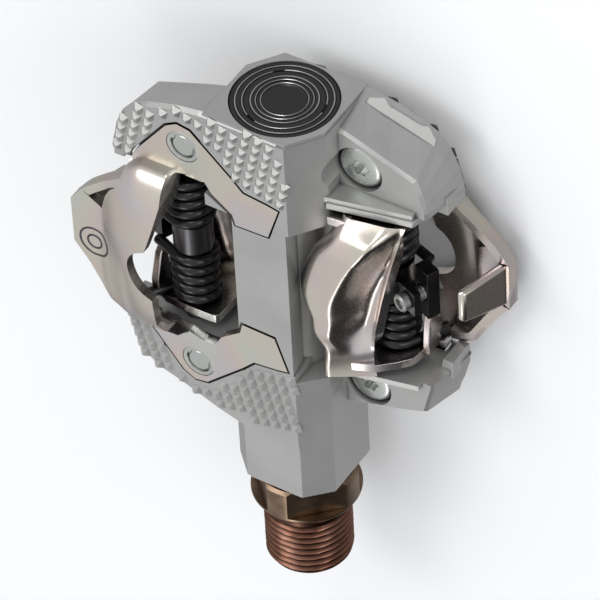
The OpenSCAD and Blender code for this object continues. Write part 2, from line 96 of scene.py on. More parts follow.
class Shader:
    """A node material built up one node at a time."""

    def __init__(self, name):
        self.material = bpy.data.materials.new(name)
        self.material.use_nodes = True
        self.tree = self.material.node_tree
        self.principled = self.tree.nodes["Principled BSDF"]
        self.place = self.add("ShaderNodeTexCoord").outputs["Object"]

    def add(self, kind, **values):
        """Adds a node; each value goes to the input or the property of that name."""
        node = self.tree.nodes.new(kind)
        for key, value in values.items():
            if key in node.inputs:
                node.inputs[key].default_value = value
            else:
                setattr(node, key, value)
        return node

    def link(self, source, target):
        self.tree.links.new(source, target)

    def noise(self, scale, detail):
        """Noise value over the object; scale is in cycles per metre."""
        node = self.add("ShaderNodeTexNoise", Scale=scale, Detail=detail)
        self.link(self.place, node.inputs["Vector"])
        return node.outputs["Fac"]

    def ramp(self, value, stops):
        """Colour ramp from (position, colour) stops."""
        node = self.add("ShaderNodeValToRGB")
        while len(node.color_ramp.elements) < len(stops):
            node.color_ramp.elements.new(0.5)
        for element, (position, colour) in zip(node.color_ramp.elements, stops):
            element.position = position
            element.color = (*colour, 1)
        self.link(value, node.inputs["Fac"])
        return node.outputs["Color"]

    def span(self, value, low, high):
        """Value from 0-1 mapped to low-high."""
        node = self.add("ShaderNodeMapRange")
        node.inputs["To Min"].default_value = low
        node.inputs["To Max"].default_value = high
        self.link(value, node.inputs["Value"])
        return node.outputs["Result"]

    def multiply(self, first, second):
        """Product of two colours."""
        node = self.add("ShaderNodeMix", data_type="RGBA", blend_type="MULTIPLY")
        node.inputs[0].default_value = 1
        self.link(first, node.inputs[6])
        self.link(second, node.inputs[7])
        return node.outputs[2]

    def bump(self, height, distance, strength):
        """Fine relief; distance is in metres."""
        node = self.add("ShaderNodeBump", Strength=strength, Distance=distance)
        self.link(height, node.inputs["Height"])
        self.link(node.outputs["Normal"], self.principled.inputs["Normal"])

    def painted_shade_by_radius(self, low, high):
        """Painted shade: grey from dark to white between two radii about the spindle axis, in millimetres."""
        flat = self.add("ShaderNodeVectorMath", operation="MULTIPLY")
        flat.inputs[1].default_value = (1 / MM, 0, 1 / MM)
        self.link(self.place, flat.inputs[0])
        length = self.add("ShaderNodeVectorMath", operation="LENGTH")
        self.link(flat.outputs["Vector"], length.inputs[0])
        node = self.add("ShaderNodeMapRange")
        node.inputs["From Min"].default_value = low
        node.inputs["From Max"].default_value = high
        node.inputs["To Min"].default_value = GROOVE_SHADE
        self.link(length.outputs["Value"], node.inputs["Value"])
        return node.outputs["Result"]

    def paint_gap_shade(self, colour, reach, depth):
        """Paints shade into a colour in corners and gaps narrower than the reach."""
        node = self.add("ShaderNodeAmbientOcclusion", samples=6, Distance=reach)
        shades = [(PAINTED_SHADE_CLOSED, (depth, depth, depth)), (PAINTED_SHADE_OPEN, (1, 1, 1))]
        return self.multiply(colour, self.ramp(node.outputs["AO"], shades))

    def set(self, **values):
        """Sets or links inputs of the surface and returns the material."""
        for name, value in values.items():
            socket = self.principled.inputs[name.replace("_", " ")]
            if isinstance(value, bpy.types.NodeSocket):
                self.link(value, socket)
            else:
                socket.default_value = value
        return self.material


def satin_aluminium():
    """Bead-blasted body casting: soft grain, with painted shade in narrow gaps."""
    s = Shader("satin_aluminium")
    grain = s.noise(9000, 3)
    cloud = s.noise(90, 5)
    colour = s.ramp(cloud, [(0.3, (0.42, 0.422, 0.41)), (0.7, (0.48, 0.482, 0.468))])
    s.bump(grain, 0.00003, 0.35)
    # Painted shade in gaps and corners up to 0.9 mm across
    base = s.paint_gap_shade(colour, 0.0009, 0.3)
    return s.set(Base_Color=base, Metallic=0.6, Roughness=s.span(cloud, 0.32, 0.44))


def nickel():
    """Nickel-plated stamping: warm grey with a faint heat tint, and painted shade in hollows and gaps."""
    s = Shader("tinted_nickel")
    cloud = s.noise(75, 2)
    tint = s.ramp(cloud, [
        (0.30, (0.67, 0.70, 0.64)), (0.41, (0.73, 0.68, 0.60)), (0.51, (0.74, 0.65, 0.60)),
        (0.61, (0.69, 0.64, 0.65)), (0.72, (0.68, 0.69, 0.66))])
    fine = s.noise(2500, 3)
    s.bump(fine, 0.00001, 0.2)
    # Painted shade, deep and reaching 5.5 mm, that darkens the insides of hooks and claws
    base = s.paint_gap_shade(tint, 0.0055, 0.06)
    return s.set(Base_Color=base, Metallic=1.0, Roughness=s.span(fine, 0.22, 0.30))


def oxide(name, dark, middle, light, groove_r=0.0, crest_r=0.0):
    """Oxide-coated steel: brown cloud, with painted shade that fades to dark from a crest radius in to a groove
    radius, and painted shade in corners.
    """
    s = Shader(name)
    cloud = s.noise(260, 6)
    colour = s.ramp(cloud, [(0.3, dark), (0.5, middle), (0.72, light)])
    s.bump(s.noise(5000, 3), 0.00001, 0.3)
    if crest_r:
        # Painted shade in the thread's grooves
        colour = s.multiply(colour, s.painted_shade_by_radius(groove_r, crest_r))
    # Painted shade in corners and gaps up to 0.8 mm across
    base = s.paint_gap_shade(colour, 0.0008, 0.12)
    return s.set(Base_Color=base, Metallic=1.0, Roughness=s.span(cloud, 0.22, 0.36))


def plain(name, colour, low, high, metallic=1.0):
    """One colour with a faint grain; low and high are the ends of its roughness."""
    s = Shader(name)
    cloud = s.noise(700, 4)
    s.bump(s.noise(6000, 3), 0.00001, 0.25)
    return s.set(Base_Color=(*colour, 1), Metallic=metallic, Roughness=s.span(cloud, low, high))


COLLAR_BROWNS = [(0.15, 0.10, 0.065), (0.25, 0.175, 0.12), (0.33, 0.245, 0.165)]
THREAD_BROWNS = [(0.17, 0.075, 0.05), (0.27, 0.13, 0.09), (0.34, 0.19, 0.14)]
MATERIALS = {
    "spindle_steel": oxide("collar_oxide", *COLLAR_BROWNS),
    "thread_steel": oxide("thread_oxide_and_painted_shade", *THREAD_BROWNS, groove_r=6.6, crest_r=7.1),
    "bearing_steel": plain("ground_steel", (0.7, 0.7, 0.7), 0.1, 0.2),
    "cage_brass": plain("cage_brass", (0.65, 0.48, 0.22), 0.25, 0.4),
    "body_aluminium": satin_aluminium(),
    "cap_black": plain("cap_black", (0.012, 0.012, 0.013), 0.25, 0.35, 0.0),
    "seal_rubber": plain("seal_rubber", (0.015, 0.015, 0.015), 0.6, 0.75, 0.0),
    "bush_bronze": plain("bush_bronze", (0.45, 0.3, 0.17), 0.3, 0.45),
    "hook_nickel": nickel(),
    "screw_silver": plain("screw_silver", (0.58, 0.60, 0.58), 0.22, 0.34),
    "screw_grey": plain("screw_grey", (0.36, 0.37, 0.36), 0.38, 0.48),
    "spring_black": plain("spring_black", (0.008, 0.008, 0.009), 0.18, 0.3, 0.0),
    "pin_steel": plain("pin_steel", (0.10, 0.10, 0.105), 0.25, 0.35),
}
SLOTS = {row["node"]: row["material_slot"] for row in frame["record"]["subparts"]}

for node, thing in frame["nodes"].items():
    thing.data.materials.clear()
    thing.data.materials.append(MATERIALS[SLOTS[node]])


# ---- mesh building, in millimetres
HALF_TURN = Matrix.Rotation(math.pi, 4, "Y")        # face A onto face B
Y_TO_Z = Matrix.Rotation(math.radians(90), 4, "X")
Y_TO_MINUS_Z = Matrix.Rotation(math.radians(-90), 4, "X")


def new_object(name, points, faces):
    """A mesh object from points in millimetres."""
    mesh = bpy.data.meshes.new(name)
    mesh.from_pydata([Vector(p) * MM for p in points], [], faces)
    shape = bmesh.new()
    shape.from_mesh(mesh)
    bmesh.ops.remove_doubles(shape, verts=shape.verts, dist=0.001 * MM)
    bmesh.ops.recalc_face_normals(shape, faces=shape.faces)
    shape.to_mesh(mesh)
    shape.free()
    thing = bpy.data.objects.new(name, mesh)
    bpy.context.scene.collection.objects.link(thing)
    return thing


def apply_modifiers(thing):
    """Replaces the object's mesh by its mesh with every modifier applied."""
    bpy.context.view_layer.update()
    mesh = bpy.data.meshes.new_from_object(thing.evaluated_get(bpy.context.evaluated_depsgraph_get()))
    thing.modifiers.clear()
    thing.data = mesh
    return thing


def combine(thing, other, operation):
    """Boolean of two objects; the second one is used up."""
    modifier = thing.modifiers.new("combine", "BOOLEAN")
    modifier.operation = operation
    modifier.object = other
    modifier.solver = "MANIFOLD"
    apply_modifiers(thing)
    bpy.data.objects.remove(other)
    return thing


def bevel(thing, width, angle=50, segments=2):
    """Rounds the edges that are sharper than the angle."""
    modifier = thing.modifiers.new("bevel", "BEVEL")
    modifier.width = width * MM
    modifier.segments = segments
    modifier.limit_method = "ANGLE"
    modifier.angle_limit = math.radians(angle)
    modifier.harden_normals = False
    return thing


def thicken(thing, thickness):
    """Gives a sheet a thickness, away from its normals."""
    modifier = thing.modifiers.new("thicken", "SOLIDIFY")
    modifier.thickness = thickness * MM
    modifier.offset = -1
    modifier.use_even_offset = True
    return apply_modifiers(thing)


def between(name, first, second):
    """Solid between two outlines with the same number of points."""
    count = len(first)
    sides = [(k, (k + 1) % count, (k + 1) % count + count, k + count) for k in range(count)]
    caps = [list(range(count)), list(range(count, 2 * count))]
    return new_object(name, first + second, caps + sides)


def prism(outline, low, high):
    """Solid between two heights over a plan outline of (x, y) points."""
    return between("prism", [(x, y, low) for x, y in outline], [(x, y, high) for x, y in outline])


def along_y(section, start, end):
    """Solid between two distances along the spindle over a section of (x, z) points."""
    return between("bar", [(x, start, z) for x, z in section], [(x, end, z) for x, z in section])


def slab(outline, offset):
    """Plate between an outline, given from the middle of the hooks, and its copy moved by an offset."""
    outer = [Vector((x, y + CLEAT_Y, z)) for x, y, z in outline]
    return between("slab", outer, [p + Vector(offset) for p in outer])


def lathe(profile, steps):
    """Ring-shaped or solid turned body about the Y axis from a closed profile of (radius, y)."""
    points, faces = [], []
    count = len(profile)
    for step in range(steps):
        angle = 2 * math.pi * step / steps
        points += [(r * math.cos(angle), y, r * math.sin(angle)) for r, y in profile]
        following = (step + 1) % steps
        faces += [(step * count + k, step * count + (k + 1) % count,
                   following * count + (k + 1) % count, following * count + k) for k in range(count)]
    return new_object("turned", points, faces)


def sheet(columns):
    """Open surface through rows of points."""
    rows, width = len(columns), len(columns[0])
    faces = [(i * width + k, i * width + k + 1, (i + 1) * width + k + 1, (i + 1) * width + k)
             for i in range(rows - 1) for k in range(width - 1)]
    return new_object("sheet", [p for row in columns for p in row], faces)


def sweep(path, section, up):
    """Solid swept along a path; section is (sideways, up) offsets, and up is about its second axis."""
    points, faces = [], []
    count, last = len(section), len(path) - 1
    for i, place in enumerate(path):
        before, after = path[max(i - 1, 0)], path[min(i + 1, last)]
        along = (Vector(after) - Vector(before)).normalized()
        first = (Vector(place) - Vector(before)).normalized() if before != place else along
        side = along.cross(up).normalized()
        miter = 1 / max(along.dot(first), 0.5)
        rise = side.cross(along)
        points += [Vector(place) + side * (a * miter) + rise * b for a, b in section]
    for i in range(last):
        start, end = i * count, (i + 1) * count
        faces += [(start + k, start + (k + 1) % count, end + (k + 1) % count, end + k) for k in range(count)]
    faces += [list(range(count)), list(range(last * count, (last + 1) * count))]
    return new_object("swept", points, faces)


def polar(radius, degrees, centre=(0.0, 0.0)):
    """Point at a radius and an angle about a centre."""
    angle = math.radians(degrees)
    return centre[0] + radius * math.cos(angle), centre[1] + radius * math.sin(angle)


def circle(radius, sides, centre=(0.0, 0.0)):
    return [polar(radius, 360 * k / sides, centre) for k in range(sides)]


def rounded(outline, passes=2, closed=True):
    """Cuts the corners of an outline again and again, so it turns smoothly."""
    for _ in range(passes):
        turned = [] if closed else [outline[0]]
        for k in range(len(outline) - (0 if closed else 1)):
            a, b = Vector(outline[k]), Vector(outline[(k + 1) % len(outline)])
            reach = min(0.25, 0.8 / max((b - a).length, 0.01))
            turned += [tuple(a.lerp(b, reach)), tuple(b.lerp(a, reach))]
        outline = turned if closed else turned + [outline[-1]]
    return outline


def smooth_step(value, low, high):
    t = min(max((value - low) / (high - low), 0), 1)
    return t * t * (3 - 2 * t)


def along_line(table, at):
    """Value at a place in a table of (place, value), with straight lines between."""
    for (a, va), (b, vb) in zip(table, table[1:]):
        if at <= b:
            return va + (vb - va) * (at - a) / (b - a)
    return table[-1][1]


def shade(thing, angle=30):
    """Smooth shading that keeps edges sharper than the angle."""
    thing.data.shade_smooth()
    thing.data.set_sharp_from_angle(angle=math.radians(angle))
    return thing


def finish_piece(thing, name, body, slot, node=None, angle=30, look=None):
    """Names a built object, gives it its finish and ties it to a CAD body.

    look is a material other than the slot's own, and node is the list of CAD nodes that it stands for.
    """
    thing.name = name
    thing.data.materials.clear()
    thing.data.materials.append(MATERIALS[look or slot])
    for polygon in thing.data.polygons:
        polygon.material_index = 0
    shade(thing, angle)
    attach(thing, body)
    if node:
        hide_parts(*node)
    return thing


def half_turn(thing, name):
    """A copy of a face A object, turned half a turn about the spindle axis onto face B."""
    copy = bpy.data.objects.new(name, thing.data.copy())
    copy.data.transform(HALF_TURN)
    bpy.context.scene.collection.objects.link(copy)
    return copy


def place_on(face, thing):
    """Turns an object built on face A onto face B if that is where it belongs."""
    if face == "b":
        thing.data.transform(HALF_TURN)
    return thing


# ---- fixed hooks
# Places on a hook are (x, y), y from the middle of the hooks; the outboard half has positive y
HOOK_T = 1.6
TAB_TOP = 9.1
TAB = [(3.8, 17), (1.8, 17.4), (-2.4, 17.9), (-4.6, 20.2), (-9.6, 24.9), (-11.4, 26.6), (-13.7, 27),
       (-15.7, 25.8), (-21.9, 17.8)]
TAB_INNER = [(-14.3, 16.8), (-11.4, 17.6), (-9.6, 17.6), (-8.1, 15.2), (-4.6, 12.5), (-4.1, 10.6),
             (1.7, 10.8)]
LIP = [(-14.7, 14.5), (-15.4, 11), (-16.3, 7.5), (-17.2, 4.6), (-17.9, 2.6)]
LIP_INBOARD = [(-17.2, -7.6), (-17.3, -10.5), (-17.6, -14.2), (-16.9, -16.6)]
NOSE = [(-23.0, 13.7), (-26.8, 10.9), (-30.6, 7.8), (-33.1, 4.6)]
NOSE_INBOARD = [(-22.6, 15.7), (-26.6, 14.6), (-30.6, 7.6), (-33.1, 4.4)]
NOSE_TOP = 2.1
NOSE_RISE = (20.5, 24.0)
WINDOW = [(-23.7, 11.8), (-30.6, 7.1), (-27.3, 5.1), (-26.2, 8.5), (-25.2, 10.2)]
NOTCH = (-16.6, -2.4)
NOTCH_R = 5.0
# Arch of the hook: height, half-width at the tabs, where it starts to fall away, and its inner wall
DOME_H, DOME_HALF, DOME_CREST, DOME_REACH = 5.2, 17.2, 17.5, 10.5
DOME_WALL = (14.3, 15.1)
# Holes for the threaded inserts
INSERT_X, INSERT_Y, INSERT_HOLE_R = -12.86, 22.75, 2.9
# Section of the wall around the nose, as (outward, up)
NOSE_WALL = [(0.02, -2.5), (0.02, -0.7), (-0.08, -0.4), (-0.3, -0.15), (-0.6, -0.06), (-1.2, -0.08),
             (-1.5, -0.2), (-1.5, -2.5)]
# Flap folded down from the nose: the x and y of its two edges, how far the first is below the nose's top,
# the height of the second, and its thickness
FLAP_X, FLAP_TOP_Y, FLAP_DROP = -33.1, (4.5, -4.3), 0.9
FLAP_END_X, FLAP_END_Y, FLAP_END_Z = -30.2, (-1.6, 4.4), 0.3
FLAP_T = 1.4
# Plain ring mark on the nose plate: its middle, and its section as (radius, rise above the plate)
MARK = (-29.2, -2.9)
MARK_RELIEF = [(0, -0.4), (1.05, -0.4), (1.1, 0.06), (1.45, 0.06), (1.5, -0.4), (2.45, -0.4), (2.5, 0.06),
               (2.85, 0.06), (2.9, -0.4), (2.9, -0.8), (0, -0.8)]


def hook_height(x, y):
    """Top of the hook sheet above the spindle axis: flat tabs, a domed arch and the flatter nose plate."""
    across = abs(y)
    # The inboard side is fuller and turns more softly than the outboard side
    soft = smooth_step(-y, -3, 8)
    half = DOME_HALF - (5.4 if y > 0 else 3.0) * smooth_step(-x, 19.5, 29)
    fall = max(-x - DOME_CREST, 0) / (DOME_REACH + soft)
    along = max(1 - fall ** 2, 0) ** (0.5 + 0.45 * soft) * smooth_step(-x, *DOME_WALL)
    dome = DOME_H * along * max(1 - (across / half) ** 2.7, 0) ** (1 / 2.4) if across < half else 0
    nose = NOSE_TOP * smooth_step(-x, *NOSE_RISE) * smooth_step(half - across, -1.5, 0.5)
    # Fillet where the arch meets the nose plate
    reach = 0.9 + 2.2 * soft
    blend = max(reach - abs(dome - nose), 0) ** 2 / (4 * reach) * smooth_step(min(dome, nose), 0, 1.5)
    return TAB_TOP + max(dome, nose) + blend


def hook_outline():
    """Plan outline of the hook, outer edge then the window edge, as (x, y)."""
    outer = TAB + rounded(NOSE, 1, closed=False)
    outer_inboard = TAB + rounded(NOSE_INBOARD, 1, closed=False)
    notch = [polar(NOTCH_R, degrees, NOTCH) for degrees in range(110, 256, 12)]
    outer_both = outer + [(x, -y) for x, y in reversed(outer_inboard)]
    inner_both = [(x, -y) for x, y in TAB_INNER[::-1]] + LIP_INBOARD[::-1] + notch[::-1]
    inner_both += rounded(LIP, 1, closed=False)[::-1] + TAB_INNER
    return [(x, y + CLEAT_Y) for x, y in outer_both + inner_both]


def hook_sheet():
    """Stamped sheet of the hook with its window and its two holes."""
    steps_x = [-33.6 + 0.42 * k for k in range(91)]
    # Finer steps where the arch meets the tabs
    half_steps = [0.55 * k for k in range(24)] + [13.2 + 0.18 * k for k in range(25)]
    half_steps += [17.6 + 0.8 * k for k in range(13)]
    steps_y = sorted({round(side * y, 3) for side in (-1, 1) for y in half_steps})
    rows = [[(x, y + CLEAT_Y, hook_height(x, y)) for y in steps_y] for x in steps_x]
    hook = combine(thicken(sheet(rows), HOOK_T), prism(hook_outline(), 0, 20), "INTERSECT")
    cuts = [[(x, y + CLEAT_Y) for x, y in WINDOW]]
    cuts += [circle(INSERT_HOLE_R, 32, (INSERT_X, CLEAT_Y + side * INSERT_Y)) for side in (1, -1)]
    for cut in cuts:
        hook = combine(hook, prism(cut, 0, 20), "DIFFERENCE")
    return hook


def nose_wall():
    """Turned-down wall around the nose plate."""
    top = TAB_TOP + NOSE_TOP
    path = [(x, CLEAT_Y + y, top) for x, y in rounded(NOSE, 2, closed=False)]
    path += [(x, CLEAT_Y - y, top) for x, y in reversed(rounded(NOSE_INBOARD, 2, closed=False))]
    return sweep(path, NOSE_WALL, Vector((0, 0, 1)))


def end_flap():
    """Flap that is folded down and back from the nose's end."""
    top = [(FLAP_X, y, TAB_TOP + NOSE_TOP - FLAP_DROP) for y in FLAP_TOP_Y]
    end = [(FLAP_END_X, y, FLAP_END_Z) for y in FLAP_END_Y]
    return slab(top + end, (FLAP_T, 0, 0))


def ring_mark():
    """Two plain rings that follow the surface of the nose plate."""
    columns = []
    for degrees in range(0, 361, 6):
        places = [(*polar(r, degrees, MARK), rise) for r, rise in MARK_RELIEF]
        columns.append([(x, y + CLEAT_Y, hook_height(x, y) + rise) for x, y, rise in places])
    return sheet(columns)


# Piece, its builder, the width of its bevel and its look
HOOK_PIECES = [("sheet", hook_sheet(), 0.3, None), ("nose_wall", nose_wall(), 0.2, None),
               ("end_flap", end_flap(), 0.5, None), ("ring_mark", ring_mark(), 0.03, "pin_steel")]
for face in ("a", "b"):
    for part, thing, width, look in HOOK_PIECES:
        copy = thing if face == "a" else half_turn(thing, f"hook_{face}_{part}")
        bevel(copy, width)
        node = [f"hook_{face}"] if part == "sheet" else None
        finish_piece(copy, f"hook_{face}_{part}", "pedal_body", "hook_nickel", node, 40, look)


# ---- sprung claws
CLAW_T = 1.5
# Lip towards the spindle and outer rim, as (distance from the middle, x), and height of the rim
CLAW_LIP = [(-17, 8.3), (-15.4, 8.2), (-12.4, 8.7), (-10.7, 8.5), (-9, 7.3), (-7.4, 6.4), (-4.2, 6.2),
            (-2.4, 5.1), (0, 4.5), (2.2, 4.9), (5.6, 6), (8.9, 7.4), (10.4, 8.6), (12.5, 10.2), (17, 11.4)]
CLAW_RIM = [(-17, 16.4), (-14.5, 15.7), (-8, 16.2), (0, 17.6), (6, 18.8), (12.5, 20.6), (17, 22.3)]
CLAW_RIM_Z = [(-17, 3.0), (-14.5, 3.0), (-8, 3.2), (0, 2.5), (6, 2.0), (12.5, 1.8), (17, 3.2)]
CLAW_CREST_Z = 7.7
CLAW_ENDS = (-17, 16.2)
# Ears: distances of their sides from the middle, their upper edge, and their foot below the pin
EAR_SIDES = (14.1, 15.6)
EAR_TOP_OUTBOARD = [(9.9, 5.2), (13, 4.9), (16, 3.9), (20.4, 2.4)]
EAR_TOP_INBOARD = [(9.9, 5.2), (13, 4.9), (16.4, 3.6), (18.9, 1.4), (20.6, -0.6), (21.1, -3.3), (21.4, -5.7),
                   (20.2, -6.4), (17, -6.7)]
EAR_FOOT = [(11.6, PIN.z - 2.9), (10.8, PIN.z - 2.7), (10.4, PIN.z - 2.1)]
EAR_HOLE_R = 2.05
# Oval lower edge of the outboard ear: offset of its middle from the pin and its two half-widths
EAR_OVAL_X, EAR_OVAL_Z, EAR_OVAL_HALF_X, EAR_OVAL_HALF_Z = 1, 0.4, 3.9, 3.3
# Tongue that the inboard ear sends along its outer edge, as (distance from the middle, z)
TONGUE = [(-15.2, -3.2), (-12.8, -3.3), (-9, -3.7), (-5.9, -4.2), (-5.1, -4.9), (-5.9, -5.9),
          (-10.6, -7.4), (-12.9, -7.4), (-15.2, -6.2)]
TONGUE_X, TONGUE_T = 21.9, 1.3
# Tension screw of claw A: seat of its head and direction
TENSION_X, TENSION_Z, TENSION_TILT = 20.3, 2.4, math.radians(-23.2)
TENSION = Matrix.Translation(Vector((TENSION_X, CLEAT_Y, TENSION_Z)) * MM)
TENSION @= Matrix.Rotation(TENSION_TILT, 4, "Y")
# Lug that carries the screw: its two faces as depths along the screw, and half of its length
LUG_START, LUG_END, LUG_HALF, LUG_HOLE_R = 1.55, 2.75, 2.2, 1.3


def softened(table, at, reach):
    """Value in a table, averaged over a short stretch so that corners turn smoothly."""
    steps = [reach * k / 3 for k in range(-3, 4)]
    first, last = table[0][0], table[-1][0]
    return sum(along_line(table, min(max(at + d, first), last)) for d in steps) / len(steps)


def tension_point(depth, across):
    """A point (x, z) from its depth along the tension screw and its offset across it."""
    return (TENSION_X - depth * math.sin(TENSION_TILT) + across * math.cos(TENSION_TILT),
            TENSION_Z - depth * math.cos(TENSION_TILT) - across * math.sin(TENSION_TILT))


def claw_height(y, t):
    """Top of the claw sheet, a share t of the way from lip to rim: crown, steep hollow flank, small rim."""
    rim = softened(CLAW_RIM_Z, y, 2.5)
    roll = 2.2 * (1 - min(t / 0.22, 1)) ** 2
    plain = CLAW_CREST_Z + (rim - CLAW_CREST_Z) * t - roll
    start = 0.50 + 0.012 * y
    flank = smooth_step(t, start, start + 0.38)
    crest = CLAW_CREST_Z + 0.05
    hollow = crest + (rim - 0.6 - crest) * flank + 0.7 * smooth_step(t, 0.92, 1) - 1.15 * roll
    # The outboard end bends down, and the hollow fades out towards both ends
    drop = 3.2 * (1 - 0.8 * t) * smooth_step(y, 10, 17.5)
    pressed = smooth_step(y, -12.5, -7) * (1 - smooth_step(y, 13.5, 17))
    return plain + (hollow - plain) * pressed - drop


def claw_sheet():
    """Stamped sheet of claw A."""
    rows, across = [], 36
    for y in [CLAW_ENDS[0] + 0.5 * k for k in range(67)] + [CLAW_ENDS[1]]:
        lip, rim = softened(CLAW_LIP, y, 0.9), softened(CLAW_RIM, y, 2)
        shares = [k / across for k in range(across + 1)]
        rows.append([(lip + (rim - lip) * t, y + CLEAT_Y, claw_height(y, t)) for t in shares])
    return thicken(sheet(rows), CLAW_T)


def ear(outline, side):
    """One ear of claw A on the outboard (1) or inboard (-1) side, with the hole for the pin."""
    start, end = sorted(CLEAT_Y + side * distance for distance in EAR_SIDES)
    hole = along_y(circle(EAR_HOLE_R, 32, (PIN.x, PIN.z)), CLEAT_Y - 18, CLEAT_Y + 18)
    return combine(along_y(outline + EAR_FOOT, start, end), hole, "DIFFERENCE")


def ear_oval():
    """Lower edge of the outboard ear, which stays clear of the other face's hook when the claw opens."""
    middle_x, middle_z = PIN.x + EAR_OVAL_X, PIN.z + EAR_OVAL_Z
    turns = [polar(1, degrees) for degrees in range(15, -91, -15)]
    return [(middle_x + EAR_OVAL_HALF_X * x, middle_z + EAR_OVAL_HALF_Z * z) for x, z in turns]


def claw_lug():
    """Lug of claw A with the hole for the tension screw."""
    section = [(16.4, 1.5), (17.3, 1.7), (18.1, 1.1), tension_point(LUG_START, -1.9),
               tension_point(LUG_START, 1.9), tension_point(LUG_END, 1.9), tension_point(LUG_END, -2.6),
               (16.2, 0.6)]
    hole = along_y(circle(LUG_HOLE_R, 24), -5, 5)
    hole.data.transform(TENSION @ Y_TO_Z)
    return combine(along_y(section, CLEAT_Y - LUG_HALF, CLEAT_Y + LUG_HALF), hole, "DIFFERENCE")


# Piece and its look
CLAW_PIECES = [("sheet", claw_sheet(), None),
               ("ear_outboard", ear(EAR_TOP_OUTBOARD + ear_oval(), 1), None),
               ("ear_inboard", ear(EAR_TOP_INBOARD, -1), None),
               ("tongue", slab([(TONGUE_X, y, z) for y, z in TONGUE], (-TONGUE_T, 0, 0)), None),
               # The lug is nickel; its dark pin steel look is painted shade for the shadow it sits in under the
               # rim
               ("lug", claw_lug(), "pin_steel")]
for face in ("a", "b"):
    for part, thing, look in CLAW_PIECES:
        copy = thing if face == "a" else half_turn(thing, f"claw_{face}_{part}")
        bevel(copy, 0.25)
        node = [f"claw_{face}"] if part == "sheet" else None
        finish_piece(copy, f"claw_{face}_{part}", f"claw_{face}", "hook_nickel", node, 40, look)


# ---- tension screws and nuts
# Profiles as (radius, depth below the seat of the head)
SCREW_HEAD = [(0.01, 0.7), (0.85, 0.7), (0.85, 0), (1.25, 0), (1.5, 0.25), (1.5, 1.3), (1.25, 1.5)]
SCREW_THREAD = [(1.22 if k % 2 else 1.0, 1.6 + 0.25 * k) for k in range(24)]
SCREW_END = [(0.8, 7.6), (0.01, 7.6)]
NUT_START, NUT_H, NUT_HALF, NUT_SIDE, NUT_HOLE_R = 4.3, 2.2, 4.6, 1.6, 1.36


def tension_screw():
    """Screw with a recess, a rounded head and a fine thread."""
    screw = lathe(SCREW_HEAD + SCREW_THREAD + SCREW_END, 32)
    screw.data.transform(TENSION @ Y_TO_MINUS_Z)
    return screw


def tension_nut():
    """Bar-shaped nut that the spring legs press on."""
    low, high = NUT_START, NUT_START + NUT_H
    section = [tension_point(low, -NUT_SIDE), tension_point(low, NUT_SIDE), tension_point(high, NUT_SIDE),
               tension_point(high, -NUT_SIDE)]
    hole = along_y(circle(NUT_HOLE_R, 32), low - 2, high + 2)
    hole.data.transform(TENSION @ Y_TO_MINUS_Z)
    return combine(along_y(section, CLEAT_Y - NUT_HALF, CLEAT_Y + NUT_HALF), hole, "DIFFERENCE")


for face in ("a", "b"):
    for part, thing, width, look in (("screw", tension_screw(), 0.05, "screw_grey"),
                                     ("nut", tension_nut(), 0.35, None)):
        node = f"tension_{part}_{face}"
        bevel(place_on(face, thing), width)
        finish_piece(thing, f"tension_{face}_{part}_turned", node, SLOTS[node], [node], look=look)


# ---- torsion springs
WIRE_R, COIL_R, COIL_TURNS, COIL_PITCH = 0.86, 3.15, 5, 1.98
# Distances of the coil's outer end and of the inner end of its twist from the middle of the hooks
COIL_OUTER_Y, TWIST_END_Y = 13.1, 4.2
# Angles about the pin, in degrees, at which the two legs leave the coil, and points along them
HOOK_LEG_ANGLE, NUT_LEG_ANGLE = 30, -70
HOOK_LEG, NUT_LEG = (7.4, 5, 2.5, 0.8), (0.8, 2.5, 4, 5.2)
STEPS_PER_TURN = 34


def spring_path(side):
    """Centre line of a spring: leg on the hook, coil, leg under the tension nut."""
    coil_angle = COIL_TURNS * 360 + NUT_LEG_ANGLE - HOOK_LEG_ANGLE
    coil_length = COIL_PITCH * coil_angle / 360
    steps = STEPS_PER_TURN * COIL_TURNS

    def on_coil(share):
        x, z = polar(COIL_R, HOOK_LEG_ANGLE + coil_angle * share, (PIN.x, PIN.z))
        return Vector((x, CLEAT_Y + side * (COIL_OUTER_Y - coil_length * share), z))

    def tangent(degrees):
        x, z = polar(1, degrees + 90)
        return Vector((x, 0, z))

    points = [on_coil(0) - tangent(HOOK_LEG_ANGLE) * reach for reach in HOOK_LEG]
    points += [on_coil(i / steps) for i in range(steps + 1)]
    points += [on_coil(1) + tangent(NUT_LEG_ANGLE) * reach for reach in NUT_LEG]
    return points


for face in ("a", "b"):
    for place, side in (("outboard", 1), ("inboard", -1)):
        name = f"spring_{face}_{place}"
        coil = place_on(face, sweep(spring_path(side), circle(WIRE_R, 12), Vector((0, 1, 0))))
        bevel(coil, 0.2, 60)
        coil.name = name + "_wire"
        coil.data.materials.append(MATERIALS["spring_black"])
        shade(apply_modifiers(coil), 40)
        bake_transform(coil)
        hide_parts(name)


# ---- spindle: collar and crank thread
THREAD_R, THREAD_PITCH, THREAD_DEPTH, THREAD_STEP = 7.14, 1.27, 0.62, 0.1
THREAD_L = -THREAD_END_Y
